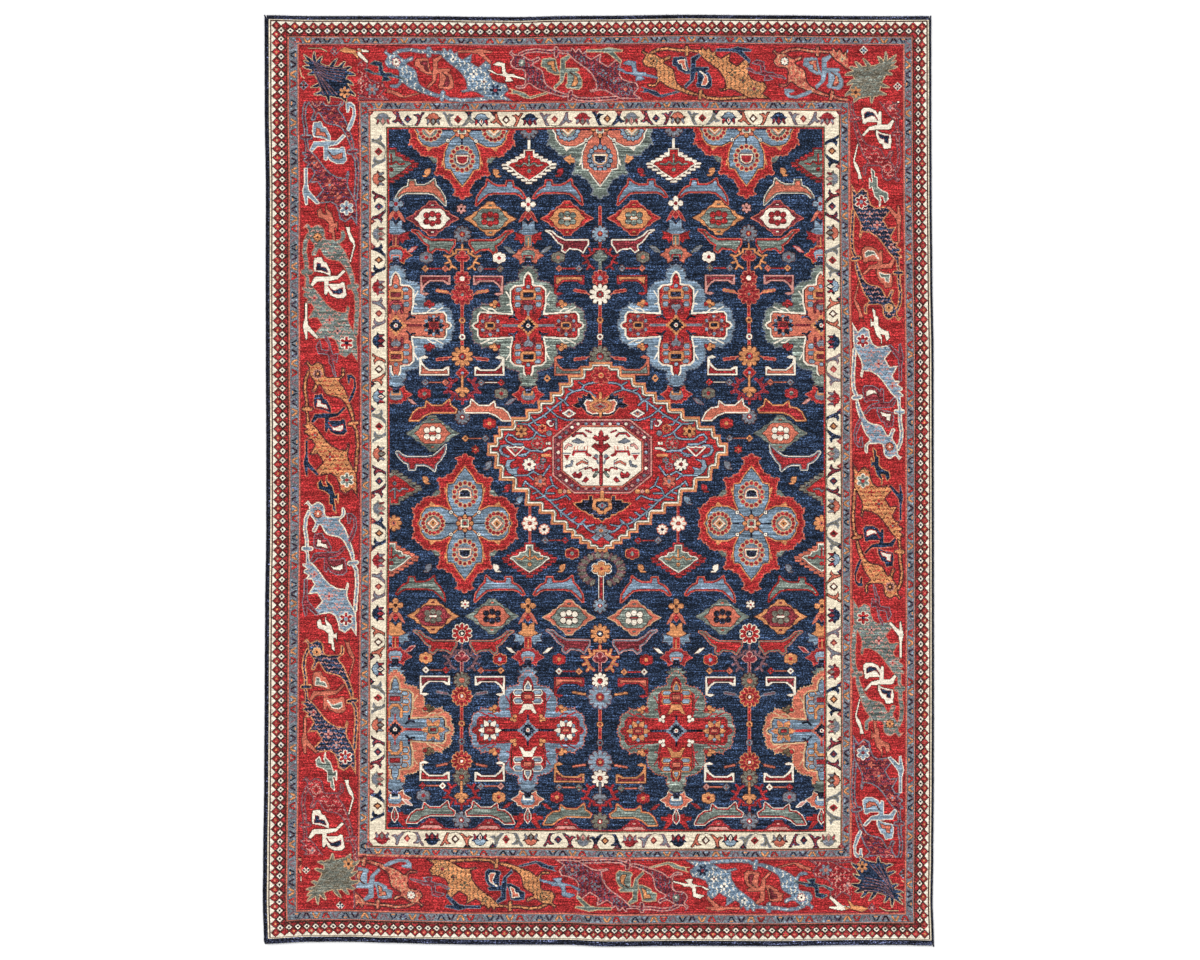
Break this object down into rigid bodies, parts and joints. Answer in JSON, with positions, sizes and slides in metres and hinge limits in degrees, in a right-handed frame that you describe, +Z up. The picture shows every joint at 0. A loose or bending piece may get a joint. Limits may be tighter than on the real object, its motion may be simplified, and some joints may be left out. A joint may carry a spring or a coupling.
{
  "type": "rug",
  "caption": "Large rectangular hand-knotted wool rug lying flat, with pile, turned ends and an overcast cord along each long side.",
  "frame": {"origin": "middle of the footprint, on the underside of the cloth", "axes": "+X across the wefts, +Y along the warps towards the end that is at the top of the picture, +Z up out of the pile"},
  "size_m": [2.514, 3.4886, 0.011],
  "materials": {
    "knotted_wool": "knotted wool pile, clipped level, in about fourteen vegetable-dye colours with madder red and navy leading, streaky along the weft",
    "overcast_wool": "dark navy wool yarn wrapped closely round the edge warps"
  },
  "bodies": {
    "root": {"knotted_cloth": "knotted_wool", "selvedge_left": "overcast_wool", "selvedge_right": "overcast_wool"}
  },
  "joints": []
}
